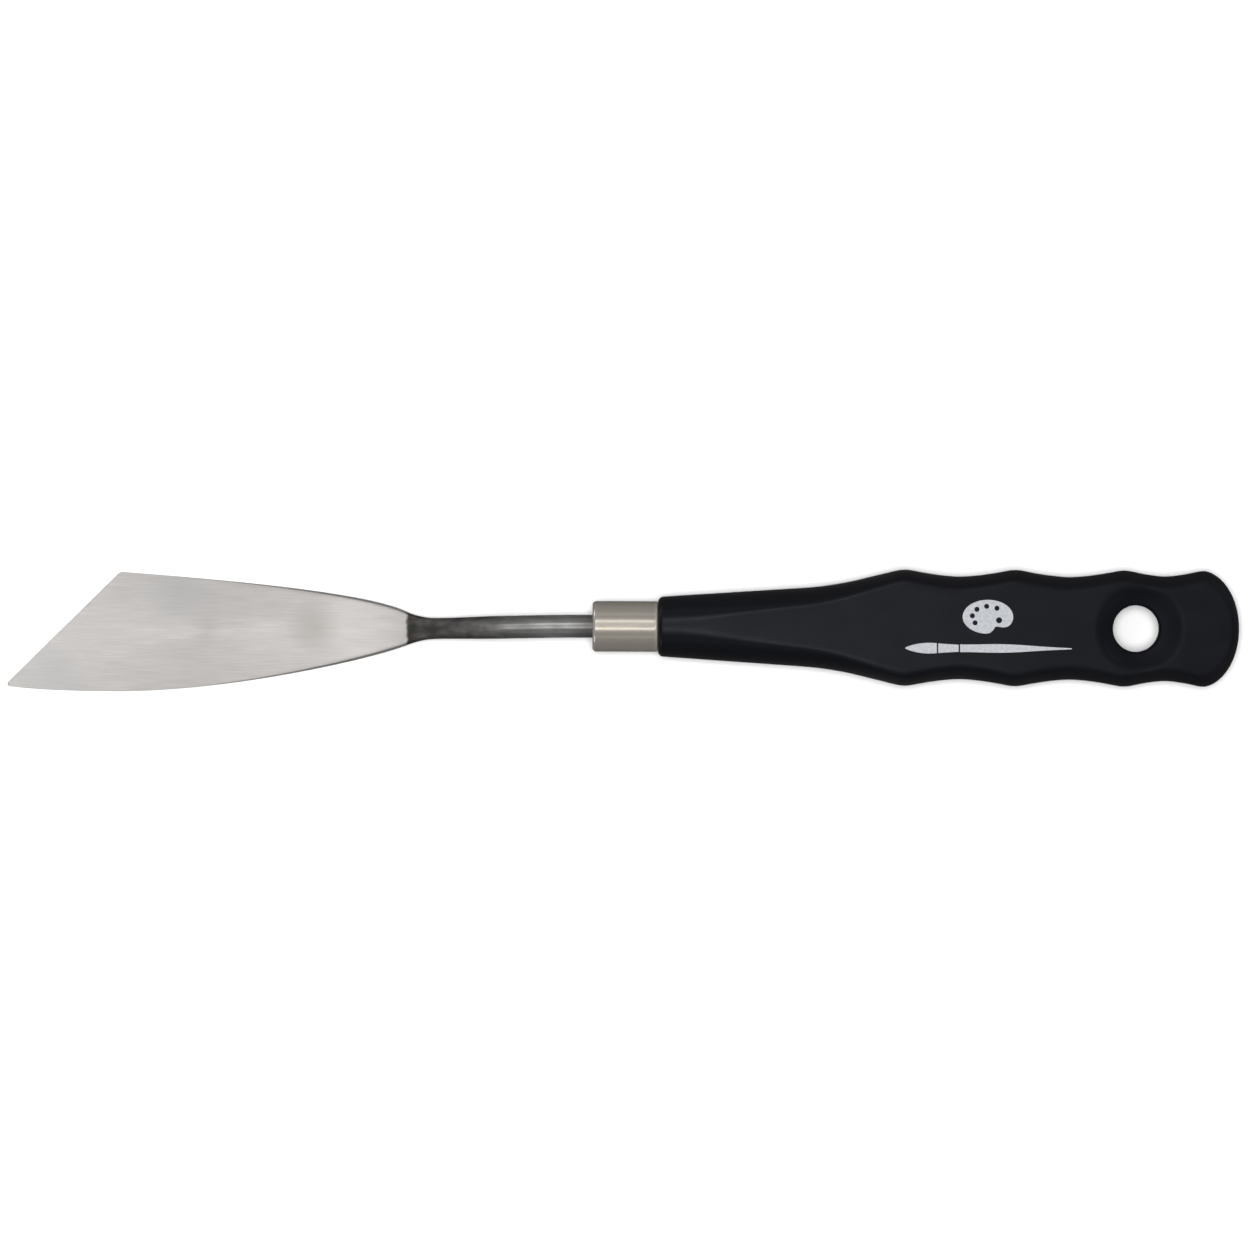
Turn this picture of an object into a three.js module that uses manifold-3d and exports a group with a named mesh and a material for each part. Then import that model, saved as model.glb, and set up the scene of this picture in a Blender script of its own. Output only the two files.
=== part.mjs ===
// Painting knife: an angular steel blade on a cranked round shank, with a metal
// ferrule and a waisted, finger-grooved handle that has a hanging hole at its butt.
// All lengths are in millimetres. +X runs from the blade's tip towards the butt,
// +Y points to the side of the blade's short edge, and +Z is up. The knife lies flat
// on the plane z = 0, and the origin is under the middle of the handle, on that plane.

import * as THREE from "three";
import { mergeVertices } from "three/addons/utils/BufferGeometryUtils.js";
import Module from "manifold-3d";

const wasm = await Module();
wasm.setup();

// ---- Driving dimensions ----------------------------------------------------

// Clearance left between two pieces that touch on the real object.
const GAP = 0.3;

// Handle: a turned shape with two flats, covered by a soft skin over a rigid core.
const HANDLE_LENGTH = 119.8;
const HANDLE_THICKNESS = 13.4;
const NOSE_RADIUS = 6.13;
const NOSE_TAPER = 0.0665;
const NOSE_CORNER = 1.2;
const SWELL_START = -24.1;
const SWELL_SOFTNESS = 6;
const CRESTS = [-9.1, 13.7, 36.3, 52.8];
const CREST_PEAK = 12.17;
const CREST_ROUNDING = 1.74;
const GROOVE_RADII = [10.57, 10.57, 10.78];
const GROOVE_POWER = 1.6;
const BUTT_HANDLES = [[56.45, 11.35], [59.9, 6.6]];
const SKIN = 1.6;
const CORE_END_WALL = 4.3;

// Hanging hole near the butt, in a shallow dish on each face.
const HOLE_X = 38.6;
const HOLE_RADIUS = 4.8;
const DISH_X = 39.4;
const DISH_RADIUS = 8.7;
const DISH_SPHERE = 14;

// Ferrule: a drawn cup over the core's spigot, against the handle's front face.
const FERRULE_LENGTH = 13.5;
const FERRULE_RADIUS = 5.2;
const FERRULE_WALL = 0.5;
const FERRULE_FRONT_WALL = 0.8;
const FERRULE_CORNER = 0.8;

// Shank: round rod, flattened into the neck ahead of it and into a tang behind it.
const ROD_RADIUS = 2.35;
const NECK_HALF_WIDTH = 2.15;
const NECK_X = -105.5;
const NECK_ROUND_X = -92;
const NECK_SIDE_SHIFT = 0.65;
const LEAN_START_X = -80;
const LEAN_END_X = -107;
const LEAN_SOFTNESS = 5;
const TANG_FLAT_X = -40;
const TANG_FLAT_TRANSITION = 6;
const TANG_END_X = -22;
const TANG_HALF_WIDTH = 3.2;
const TANG_HALF_THICKNESS = 1.3;

// Blade: flat on its underside, with a straight front edge at about 45 degrees from
// the tip to a corner, a long edge behind that corner, and a bowed edge on the other
// side from the tip over the heel to the root. The handles shape Bezier curves.
const BLADE_ROOT_X = -111.4;
const BLADE_TIP = [-194.1, -12.1];
const BLADE_TIP_WIDTH = 0.7;
const BLADE_CORNER = [-171, 10.8];
const BLADE_HEEL = [-171.5, -13.8];
const BLADE_LONG_HANDLES = [[-150.3, 9.3], [-119.7, 6.9]];
const BLADE_TIP_HANDLES = [[-188, -13.6], [-180, -13.8]];
const BLADE_BOWED_HANDLES = [[-149.5, -13.8], [-120.6, -7.5]];
const BLADE_ROOT_HALF_WIDTH = 3.3;
const BLADE_TIP_THICKNESS = 0.5;
const BLADE_ROOT_THICKNESS = 1.2;
const BLADE_THICKNESS_POWER = 3;

// Crank: the neck climbs from the blade's plane to the handle's axis.
const LOWER_BEND_X = -118.2;
const LOWER_BEND_SOFTNESS = 11.3;
const UPPER_BEND_X = -92.5;
const UPPER_BEND_SOFTNESS = 6.1;

// ---- Values worked out from them -------------------------------------------

const FRONT_X = -HANDLE_LENGTH / 2;
const BUTT_X = HANDLE_LENGTH / 2;
const LAST_CREST = CRESTS.at(-1);
const AXIS_Z = HANDLE_THICKNESS / 2;
const SPIGOT_RADIUS = FERRULE_RADIUS - FERRULE_WALL - GAP;
const FERRULE_FRONT_X = FRONT_X - FERRULE_LENGTH;
const SPIGOT_FRONT_X = FERRULE_FRONT_X + FERRULE_FRONT_WALL + GAP;
const CORE_END_X = BUTT_X - CORE_END_WALL;
const CRANK_RISE = AXIS_Z - BLADE_ROOT_THICKNESS / 2;
const CRANK_SLOPE = CRANK_RISE / (UPPER_BEND_X - LOWER_BEND_X);
const LEAN_SLOPE = NECK_SIDE_SHIFT / (LEAN_START_X - LEAN_END_X);
const SWELL_TAPER =
  NOSE_TAPER +
  (CREST_PEAK - NOSE_RADIUS - NOSE_TAPER * (CRESTS[0] - FRONT_X)) / (CRESTS[0] - SWELL_START);

// How finely the round bodies and the curves are divided.
const OUTER_SIDES = 32;
const INNER_SIDES = 20;
const ROD_SIDES = 16;
const ROD_STATIONS = 36;
const BLADE_STATIONS = 36;
const DISH_STATIONS = 8;
const BUTT_STATIONS = 8;
const CURVE_POINTS = 80;
const MERGE_DISTANCE = 1e-5;

// ---- Small helpers -----------------------------------------------------------

const { lerp, clamp, smoothstep } = THREE.MathUtils;

// |d| with its point rounded by a parabola of half-width w.
function softAbs(d, w) {
  return Math.abs(d) >= w ? Math.abs(d) : w / 2 + (d * d) / (2 * w);
}

// 0 for d below -w and d above w, joined by a parabola.
function softRamp(d, w) {
  return (d + softAbs(d, w)) / 2;
}

function samples(from, to, count) {
  return Array.from({ length: count }, (_, i) => lerp(from, to, i / count));
}

function toSolid(geometry) {
  const bare = geometry.clone();
  bare.deleteAttribute("normal");
  bare.deleteAttribute("uv");
  const merged = mergeVertices(bare, MERGE_DISTANCE);
  const vertProperties = new Float32Array(merged.attributes.position.array);
  const triVerts = new Uint32Array(merged.index.array);
  return new wasm.Manifold(new wasm.Mesh({ numProp: 3, vertProperties, triVerts }));
}

function toGeometry(solid) {
  const mesh = solid.getMesh();
  const geometry = new THREE.BufferGeometry();
  geometry.setAttribute("position", new THREE.BufferAttribute(mesh.vertProperties, 3));
  geometry.setIndex(new THREE.BufferAttribute(mesh.triVerts, 1));
  geometry.computeVertexNormals();
  return geometry;
}

// A Bezier curve between two [x, y] points, as a function of x.
function curveOf(start, handles, end) {
  const corners = [start, ...handles, end].map(([x, y]) => new THREE.Vector2(x, y));
  const points = new THREE.CubicBezierCurve(...corners).getPoints(CURVE_POINTS);
  return (x) => {
    const next = clamp(points.findIndex((point) => point.x >= x), 1, points.length - 1);
    const before = points[next - 1];
    const after = points[next];
    return lerp(before.y, after.y, clamp((x - before.x) / (after.x - before.x), 0, 1));
  };
}

// Turns a profile of [x, radius] points about the handle's axis.
function turnedAboutHandle(profile, segments) {
  const points = profile.map(([x, radius]) => new THREE.Vector2(radius, x));
  return new THREE.LatheGeometry(points, segments)
    .rotateZ(-Math.PI / 2)
    .rotateX(Math.PI / segments)
    .translate(0, 0, AXIS_Z);
}

// The layer of material between the two flats, for flats this far from the axis.
function slab(halfThickness) {
  return new THREE.BoxGeometry(2 * HANDLE_LENGTH, HANDLE_LENGTH, 2 * halfThickness)
    .translate(0, 0, AXIS_Z);
}

// A quarter turn of a rounded corner, as [x, radius] points.
function cornerArc(x, radius, size, startAngle, endAngle) {
  return [0, 1 / 3, 2 / 3, 1].map((t) => {
    const angle = lerp(startAngle, endAngle, t);
    return [x + size * Math.cos(angle), radius + size * Math.sin(angle)];
  });
}

// ---- Handle ------------------------------------------------------------------

// Radius before the crests are rounded: a tapering nose that swells to the first
// crest, and then one groove between each pair of crests.
function sharpRadius(x) {
  if (x <= CRESTS[0]) {
    const swell = (SWELL_TAPER - NOSE_TAPER) * softRamp(x - SWELL_START, SWELL_SOFTNESS);
    return NOSE_RADIUS + NOSE_TAPER * (x - FRONT_X) + swell;
  }
  const groove = x <= CRESTS[1] ? 0 : x <= CRESTS[2] ? 1 : 2;
  const halfWidth = (CRESTS[groove + 1] - CRESTS[groove]) / 2;
  const middle = CRESTS[groove] + halfWidth;
  const rise = Math.abs((x - middle) / halfWidth) ** GROOVE_POWER;
  return lerp(GROOVE_RADII[groove], CREST_PEAK, rise);
}

const buttRadius = curveOf(
  [LAST_CREST, sharpRadius(LAST_CREST - CREST_ROUNDING / 2)],
  BUTT_HANDLES,
  [BUTT_X, 0],
);

// Radius of the handle anywhere behind its front corner.
function handleRadius(x) {
  if (x >= LAST_CREST) {
    return buttRadius(x);
  }
  const distances = CRESTS.map((crest) => Math.abs(x - crest));
  const crest = CRESTS[distances.indexOf(Math.min(...distances))];
  const side = x < crest ? -1 : 1;
  return sharpRadius(crest + side * softAbs(x - crest, CREST_ROUNDING));
}

// Stations along the handle: few on the nose, more on the swell and the grooves.
function handleStations(perSwell, perGroove) {
  const swellX = SWELL_START - SWELL_SOFTNESS;
  const stations = [
    ...samples(FRONT_X + NOSE_CORNER, swellX, perSwell / 2),
    ...samples(swellX, CRESTS[0], perSwell),
  ];
  for (let i = 0; i + 1 < CRESTS.length; i += 1) {
    stations.push(...samples(CRESTS[i], CRESTS[i + 1], perGroove));
  }
  return [...stations, LAST_CREST];
}

// Stations on the butt, closer together towards its end.
function buttStations() {
  const steps = samples(0, 1, BUTT_STATIONS + 1).slice(1);
  return steps.map((t) => lerp(BUTT_X, LAST_CREST, (1 - t) ** 2));
}

function handleOutside() {
  const cornerX = FRONT_X + NOSE_CORNER;
  const cornerRadius = handleRadius(cornerX) - NOSE_CORNER;
  const profile = [
    [FRONT_X, 0],
    ...cornerArc(cornerX, cornerRadius, NOSE_CORNER, Math.PI, Math.PI / 2),
    ...handleStations(8, 8).slice(1).map((x) => [x, handleRadius(x)]),
    ...buttStations().map((x) => [x, handleRadius(x)]),
    [BUTT_X, 0],
  ];
  return toSolid(turnedAboutHandle(profile, OUTER_SIDES)).intersect(toSolid(slab(AXIS_Z)));
}

// The rigid core's outer shape, grown by a clearance, from the given front plane.
function coreOutside(frontX, clearance) {
  const endX = CORE_END_X + clearance;
  const inset = SKIN + GAP - clearance;
  const radiusAt = (x) => Math.max(SPIGOT_RADIUS + clearance, handleRadius(x) - inset);
  const stations = handleStations(4, 4).filter((x) => x > FRONT_X + SKIN);
  const profile = [
    [frontX, 0],
    [frontX, SPIGOT_RADIUS + clearance],
    [FRONT_X + SKIN, SPIGOT_RADIUS + clearance],
    ...stations.map((x) => [x, radiusAt(x)]),
    [endX, radiusAt(endX)],
    [endX, 0],
  ];
  const turned = toSolid(turnedAboutHandle(profile, INNER_SIDES));
  return turned.intersect(toSolid(slab(AXIS_Z - inset)));
}

// One dish, grown by an offset: a cap of a sphere that opens through a face.
function dish(offset, face) {
  const centreHeight = Math.sqrt(DISH_SPHERE ** 2 - DISH_RADIUS ** 2);
  const radius = DISH_SPHERE + offset;
  const rimHeight = SKIN;
  const rimAngle = Math.acos((centreHeight - rimHeight) / radius);
  const profile = samples(0, rimAngle, DISH_STATIONS).map(
    (angle) => new THREE.Vector2(radius * Math.sin(angle), centreHeight - radius * Math.cos(angle)),
  );
  profile.push(new THREE.Vector2(radius * Math.sin(rimAngle), rimHeight));
  profile.push(new THREE.Vector2(0, rimHeight));
  return new THREE.LatheGeometry(profile, OUTER_SIDES)
    .rotateX((face * Math.PI) / 2)
    .translate(DISH_X, 0, AXIS_Z + face * AXIS_Z);
}

// The hanging hole and both dishes, grown by an offset.
function eyeCutter(offset) {
  const radius = HOLE_RADIUS + offset;
  const hole = new THREE.CylinderGeometry(radius, radius, 2 * HANDLE_THICKNESS, OUTER_SIDES)
    .rotateX(Math.PI / 2)
    .translate(HOLE_X, 0, AXIS_Z);
  return toSolid(hole).add(toSolid(dish(offset, 1))).add(toSolid(dish(offset, -1)));
}

function handleGrip() {
  const cavity = coreOutside(FRONT_X - 1, GAP).subtract(eyeCutter(SKIN));
  return toGeometry(handleOutside().subtract(eyeCutter(0)).subtract(cavity));
}

function handleCore() {
  const body = coreOutside(SPIGOT_FRONT_X, 0).subtract(eyeCutter(SKIN + GAP));
  return toGeometry(body.subtract(toSolid(shankShape(GAP))));
}

// ---- Ferrule -----------------------------------------------------------------

function ferrule() {
  const rearX = FRONT_X - GAP;
  const cornerRadius = FERRULE_RADIUS - FERRULE_CORNER;
  const frontCornerX = FERRULE_FRONT_X + FERRULE_CORNER;
  const rearCornerX = rearX - FERRULE_CORNER;
  const holeRadius = ROD_RADIUS + GAP;
  const boreRadius = SPIGOT_RADIUS + GAP;
  const boreFrontX = FERRULE_FRONT_X + FERRULE_FRONT_WALL;
  const rearEdge = cornerArc(rearCornerX, cornerRadius, FERRULE_CORNER, Math.PI / 2, Math.PI / 6);
  const outline = [
    [FERRULE_FRONT_X, holeRadius],
    ...cornerArc(frontCornerX, cornerRadius, FERRULE_CORNER, Math.PI, Math.PI / 2),
    ...rearEdge,
    [rearEdge.at(-1)[0], boreRadius],
    [boreFrontX, boreRadius],
    [boreFrontX, holeRadius],
  ];
  return turnedAboutHandle([...outline, outline[0]], OUTER_SIDES);
}

// ---- Shank and blade ---------------------------------------------------------

// Height of the blade's underside, or of the neck's, above the resting plane.
function crankLift(x) {
  const lower = softRamp(x - LOWER_BEND_X, LOWER_BEND_SOFTNESS);
  const upper = softRamp(x - UPPER_BEND_X, UPPER_BEND_SOFTNESS);
  return CRANK_SLOPE * (lower - upper);
}

// Centre, half-width, half-thickness and squareness of the shank at a station.
function shankSection(x) {
  const lean =
    softRamp(LEAN_START_X - x, LEAN_SOFTNESS) - softRamp(LEAN_END_X - x, LEAN_SOFTNESS);
  const flare = Math.max(0, (NECK_X - x) / (NECK_X - BLADE_ROOT_X)) ** 2;
  const round = smoothstep(x, BLADE_ROOT_X, NECK_ROUND_X);
  const tang = smoothstep(x, TANG_FLAT_X, TANG_FLAT_X + TANG_FLAT_TRANSITION);
  const rodWidth = lerp(NECK_HALF_WIDTH, ROD_RADIUS, smoothstep(x, NECK_X, NECK_ROUND_X));
  const neckWidth = rodWidth + (BLADE_ROOT_HALF_WIDTH - NECK_HALF_WIDTH) * flare;
  const neckThickness = lerp(BLADE_ROOT_THICKNESS / 2, ROD_RADIUS, round);
  return {
    y: -LEAN_SLOPE * lean,
    z: BLADE_ROOT_THICKNESS / 2 + crankLift(x),
    halfWidth: lerp(neckWidth, TANG_HALF_WIDTH, tang),
    halfThickness: lerp(neckThickness, TANG_HALF_THICKNESS, tang),
    squareness: lerp(lerp(4, 2, round), 4, tang),
  };
}

// Superellipse coordinate: cos or sin of the angle, squared off by an exponent.
function squared(value, squareness) {
  return Math.sign(value) * Math.abs(value) ** (2 / squareness);
}

// The whole shank with its tang, grown by a clearance: a cylinder whose rings are
// moved to the sections above.
function shankShape(clearance) {
  const frontX = BLADE_ROOT_X + GAP / 2 - clearance;
  const endX = TANG_END_X + clearance;
  const shape = new THREE.CylinderGeometry(1, 1, 1, ROD_SIDES, ROD_STATIONS)
    .rotateZ(-Math.PI / 2);
  const position = shape.attributes.position;
  for (let i = 0; i < position.count; i += 1) {
    const x = lerp(frontX, endX, clamp(position.getX(i) + 0.5, 0, 1));
    const section = shankSection(x);
    const side = squared(position.getY(i), section.squareness);
    const up = squared(position.getZ(i), section.squareness);
    position.setXYZ(
      i,
      x,
      section.y + side * (section.halfWidth + clearance),
      section.z + up * (section.halfThickness + clearance),
    );
  }
  return shape;
}

const rootY = shankSection(BLADE_ROOT_X).y;
const longEdge = curveOf(
  BLADE_CORNER,
  BLADE_LONG_HANDLES,
  [BLADE_ROOT_X, rootY + BLADE_ROOT_HALF_WIDTH],
);
const bowedEdge = curveOf(
  BLADE_HEEL,
  BLADE_BOWED_HANDLES,
  [BLADE_ROOT_X, rootY - BLADE_ROOT_HALF_WIDTH],
);
const tipEdge = curveOf(
  [BLADE_TIP[0], BLADE_TIP[1] - BLADE_TIP_WIDTH],
  BLADE_TIP_HANDLES,
  BLADE_HEEL,
);

function bladeHigh(x) {
  const along = (x - BLADE_TIP[0]) / (BLADE_CORNER[0] - BLADE_TIP[0]);
  return along < 1 ? lerp(BLADE_TIP[1], BLADE_CORNER[1], along) : longEdge(x);
}

function bladeLow(x) {
  return x < BLADE_HEEL[0] ? tipEdge(x) : bowedEdge(x);
}

function bladeThickness(x) {
  const t = (x - BLADE_TIP[0]) / (BLADE_ROOT_X - BLADE_TIP[0]);
  return lerp(BLADE_TIP_THICKNESS, BLADE_ROOT_THICKNESS, t ** BLADE_THICKNESS_POWER);
}

// A flat box whose grid is moved to the blade's outline, thickness and bend.
function blade() {
  const endX = BLADE_ROOT_X - GAP / 2;
  const shape = new THREE.BoxGeometry(1, 1, 1, BLADE_STATIONS, 2, 1);
  const position = shape.attributes.position;
  for (let i = 0; i < position.count; i += 1) {
    const x = lerp(BLADE_TIP[0], endX, position.getX(i) + 0.5);
    const y = lerp(bladeLow(x), bladeHigh(x), position.getY(i) + 0.5);
    const z = crankLift(x) + bladeThickness(x) * (position.getZ(i) + 0.5);
    position.setXYZ(i, x, y, z);
  }
  return shape;
}

// ---- Assembly ----------------------------------------------------------------

function material(color, roughness, metalness) {
  return new THREE.MeshStandardMaterial({ color, roughness, metalness });
}

function piece(name, geometry, look) {
  const mesh = new THREE.Mesh(geometry, look);
  mesh.name = name;
  return mesh;
}

const knife = new THREE.Group();
knife.add(piece("blade", blade(), material(0xc8c6c3, 0.38, 1)));
knife.add(piece("shank", shankShape(0), material(0x55544f, 0.45, 1)));
knife.add(piece("ferrule", ferrule(), material(0xb0a598, 0.3, 1)));
knife.add(piece("handle_core", handleCore(), material(0x2a2a2c, 0.5, 0)));
knife.add(piece("handle_grip", handleGrip(), material(0x1b1b1d, 0.7, 0)));

export default knife;
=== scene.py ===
# Painting knife: the looks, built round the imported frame.
# Shapes are worked out in millimetres in the row frame and turned into metres when
# their meshes are made. +X runs from the blade's tip to the butt, and +Z is up.

import math

import bmesh
import bpy
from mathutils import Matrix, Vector


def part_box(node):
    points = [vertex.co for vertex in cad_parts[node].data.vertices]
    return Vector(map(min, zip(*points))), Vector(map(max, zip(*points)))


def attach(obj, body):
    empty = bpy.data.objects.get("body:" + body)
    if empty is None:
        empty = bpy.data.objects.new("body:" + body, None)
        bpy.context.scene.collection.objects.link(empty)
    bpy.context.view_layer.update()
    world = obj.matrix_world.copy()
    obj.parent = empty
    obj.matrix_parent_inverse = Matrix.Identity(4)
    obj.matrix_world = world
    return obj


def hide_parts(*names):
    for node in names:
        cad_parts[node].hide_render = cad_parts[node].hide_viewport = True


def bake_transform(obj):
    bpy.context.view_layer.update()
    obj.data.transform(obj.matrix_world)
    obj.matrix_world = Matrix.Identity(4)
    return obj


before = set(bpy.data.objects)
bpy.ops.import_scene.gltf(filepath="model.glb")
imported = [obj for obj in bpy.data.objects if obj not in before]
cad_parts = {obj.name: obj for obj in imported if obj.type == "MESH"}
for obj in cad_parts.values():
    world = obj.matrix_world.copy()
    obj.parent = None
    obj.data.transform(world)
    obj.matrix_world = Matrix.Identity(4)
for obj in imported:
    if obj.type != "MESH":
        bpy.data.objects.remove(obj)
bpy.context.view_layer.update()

# ---- Dimensions, in millimetres ----------------------------------------------------------

MM = 0.001

# Handle: a turned shape cut by two flats, as a soft skin over a rigid core. The flat angles
# say how far round from the sides the eye's faces start, on the skin's two surfaces.
grip_low, grip_high = [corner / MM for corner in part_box("handle_grip")]
FRONT_X = grip_low.x
BUTT_X = grip_high.x
AXIS_Z = (grip_low.z + grip_high.z) / 2
HALF_THICKNESS = (grip_high.z - grip_low.z) / 2
NOSE_RADIUS = 6.13
NOSE_TAPER = 0.0665
NOSE_CORNER = 1.2
SWELL_START = -24.1
SWELL_SOFTNESS = 6
CRESTS = [-9.1, 13.7, 36.3, 52.8]
CREST_PEAK = 12.17
CREST_ROUNDING = 1.74
GROOVE_RADII = [10.57, 10.57, 10.78]
GROOVE_POWER = 1.6
BUTT_HANDLES = [(56.45, 11.35), (59.9, 6.6)]
SKIN = 1.6
CORE_END_WALL = 4.0
FLAT_EDGE_POWER = 36
OUTSIDE_FLAT_ANGLE = 42
INSIDE_FLAT_ANGLE = 36
FRONT_LIP = 0.2

# Hanging hole and the dish round it on each face.
HOLE_X = 38.6
HOLE_RADIUS = 4.8
HOLE_RIM = 0.5
DISH_X = 39.4
DISH_RADIUS = 8.7
DISH_SPHERE = 14
DISH_SOFTNESS = 0.5
EYE_BLOCK = 9.6

# Ferrule.
FERRULE_FRONT_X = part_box("ferrule")[0].x / MM
FERRULE_SEAT_GAP = 0.05
FERRULE_REAR_X = FRONT_X - FERRULE_SEAT_GAP
FERRULE_RADIUS = 5.2
FERRULE_BORE = 4.7
FERRULE_HOLE = 2.65
FERRULE_FRONT_WALL = 0.8
FERRULE_CORNER = 0.8
FERRULE_REAR_CORNER = 0.3
FERRULE_HOLE_CORNER = 0.15
FERRULE_BORE_BEVEL = 0.1

# Shank and tang.
ROD_RADIUS = 2.35
NECK_HALF_WIDTH = 2.15
NECK_X = -105.5
NECK_ROUND_X = -92
NECK_SIDE_SHIFT = 0.65
LEAN_START_X = -80
LEAN_END_X = -107
LEAN_SOFTNESS = 5
TANG_FLAT_X = -40
TANG_FLAT_TRANSITION = 6
TANG_HALF_WIDTH = 3.2
TANG_HALF_THICKNESS = 1.3
TANG_EDGE = 0.6

# Blade. Its edges are bevelled more from the tip to the root, by at most LARGEST_EDGE of its
# half-width.
BLADE_ROOT_X = -111.4
BLADE_TIP = (-194.1, -12.1)
BLADE_TIP_WIDTH = 0.7
BLADE_TIP_ROUNDING = 0.35
BLADE_TIP_BLUNTNESS = 0.15
BLADE_TIP_FINE = 1
BLADE_TIP_STEP = 0.06
BLADE_CORNER = (-171, 10.8)
BLADE_CORNER_SOFTNESS = 0.5
BLADE_CORNER_FINE = 2
BLADE_CORNER_STEP = 0.15
BLADE_HEEL = (-171.5, -13.8)
BLADE_LONG_HANDLES = [(-150.3, 9.3), (-119.7, 6.9)]
BLADE_TIP_HANDLES = [(-188, -13.6), (-180, -13.8)]
BLADE_BOWED_HANDLES = [(-149.5, -13.8), (-120.6, -7.5)]
BLADE_ROOT_HALF_WIDTH = 3.3
BLADE_TIP_THICKNESS = 0.5
BLADE_ROOT_THICKNESS = 1.2
BLADE_THICKNESS_POWER = 3
TIP_EDGE = 0.05
ROOT_EDGE = 0.55
LARGEST_EDGE = 0.9
EDGE_FULLNESS = 1.35
EDGE_GROWTH_X = -160
# Painted shade along the blade's edges, where their bevels reflect the dark surroundings, reaches
# this far in.
EDGE_SHADE_WIDTH = 1.1

# Crank of the neck.
LOWER_BEND_X = -118.2
LOWER_BEND_SOFTNESS = 11.3
UPPER_BEND_X = -92.5
UPPER_BEND_SOFTNESS = 6.1
CRANK_SLOPE = (AXIS_Z - BLADE_ROOT_THICKNESS / 2) / (UPPER_BEND_X - LOWER_BEND_X)
LEAN_SLOPE = NECK_SIDE_SHIFT / (LEAN_START_X - LEAN_END_X)

# ---- Small helpers -------------------------------------------------------------------------

HALVINGS = 30


def lerp(a, b, t):
    return a + (b - a) * t


def smoothstep(x, low, high):
    t = min(1, max(0, (x - low) / (high - low)))
    return t * t * (3 - 2 * t)


def soft_abs(d, w):
    """|d| with its point rounded by a parabola of half-width w."""
    return abs(d) if abs(d) >= w else w / 2 + d * d / (2 * w)


def soft_ramp(d, w):
    """Nothing below -w, and d itself above w, joined by a parabola."""
    return (d + soft_abs(d, w)) / 2


def spread(start, end, step):
    """Evenly spaced values from start on, about a step apart, without the end."""
    count = max(1, round((end - start) / step))
    return [lerp(start, end, i / count) for i in range(count)]


def bezier(start, handles, end, t):
    points = [start, *handles, end]
    weights = [(1 - t) ** 3, 3 * (1 - t) ** 2 * t, 3 * (1 - t) * t * t, t**3]
    return tuple(sum(w * p[k] for w, p in zip(weights, points)) for k in (0, 1))


def bezier_height(start, handles, end):
    """A Bezier curve whose x only grows, as a function of x."""

    def height(x):
        low, high = 0.0, 1.0
        for _ in range(HALVINGS):
            middle = (low + high) / 2
            if bezier(start, handles, end, middle)[0] < x:
                low = middle
            else:
                high = middle
        return bezier(start, handles, end, (low + high) / 2)[1]

    return height


def arc(centre_x, centre_radius, size, start, end, steps):
    """(x, radius) points of an arc in a turned profile. Angles are in degrees."""
    angles = [math.radians(lerp(start, end, i / steps)) for i in range(steps + 1)]
    return [(centre_x + size * math.cos(a), centre_radius + size * math.sin(a)) for a in angles]


# ---- Mesh making ---------------------------------------------------------------------------

# Points nearer than this become one, and this is how far inside its edge a flat face has
# its outermost points, so that smooth shading keeps it flat up to there.
MERGE_DISTANCE = 0.001
EDGE_SUPPORT = 0.06

# Steps along the steel and round it.
STEEL_STEP = 0.6
ACROSS_STEPS = 24
EDGE_STEPS = 12
SHANK_EDGE_STEPS = 48
SHANK_SIDES = 72
FERRULE_SIDES = 128

# Steps of the handle's skins. The butt's, the face's and the wall's are shares of the way
# along the butt's curve, from the hole's rim to the border round the eye, and down the hole.
SHELL_SIDES = 144
OUTSIDE_STEP = 0.7
INSIDE_STEP = 1.2
INSIDE_END_SHARES = (1, 0.75, 0.5, 0.25)
BUTT_STEP = 0.035
RIM_STEPS = 5
FACE_STEP = 0.08
WALL_STEP = 0.15
FLAT_ROUNDS = 4


def make_piece(name, vertices, faces, material):
    """A smooth closed mesh from points in millimetres, with its faces turned outwards."""
    mesh = bpy.data.meshes.new(name)
    mesh.from_pydata([Vector(v) * MM for v in vertices], [], faces)
    body = bmesh.new()
    body.from_mesh(mesh)
    bmesh.ops.remove_doubles(body, verts=body.verts, dist=MERGE_DISTANCE * MM)
    bmesh.ops.recalc_face_normals(body, faces=body.faces)
    for face in body.faces:
        face.smooth = True
    body.to_mesh(mesh)
    body.free()
    mesh.materials.append(material)
    piece = bpy.data.objects.new(name, mesh)
    bpy.context.scene.collection.objects.link(piece)
    return piece


def sharpen(piece, degrees):
    """Keeps edges sharper than this angle crisp."""
    body = bmesh.new()
    body.from_mesh(piece.data)
    for edge in body.edges:
        edge.smooth = not (edge.is_manifold and edge.calc_face_angle() > math.radians(degrees))
    body.to_mesh(piece.data)
    body.free()


def loft(rings, cap_start=True, cap_end=True):
    """Vertices and faces of a skin over rings of equal length, capped by fans."""
    size = len(rings[0])
    vertices = [point for ring in rings for point in ring]
    faces = []
    for i in range(len(rings) - 1):
        for j in range(size):
            k = (j + 1) % size
            faces.append((i * size + j, i * size + k, (i + 1) * size + k, (i + 1) * size + j))
    for wanted, first in ((cap_start, 0), (cap_end, (len(rings) - 1) * size)):
        if wanted:
            ring = vertices[first : first + size]
            vertices.append(tuple(sum(p[k] for p in ring) / size for k in range(3)))
            centre = len(vertices) - 1
            faces += [(first + j, first + (j + 1) % size, centre) for j in range(size)]
    return vertices, faces


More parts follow.
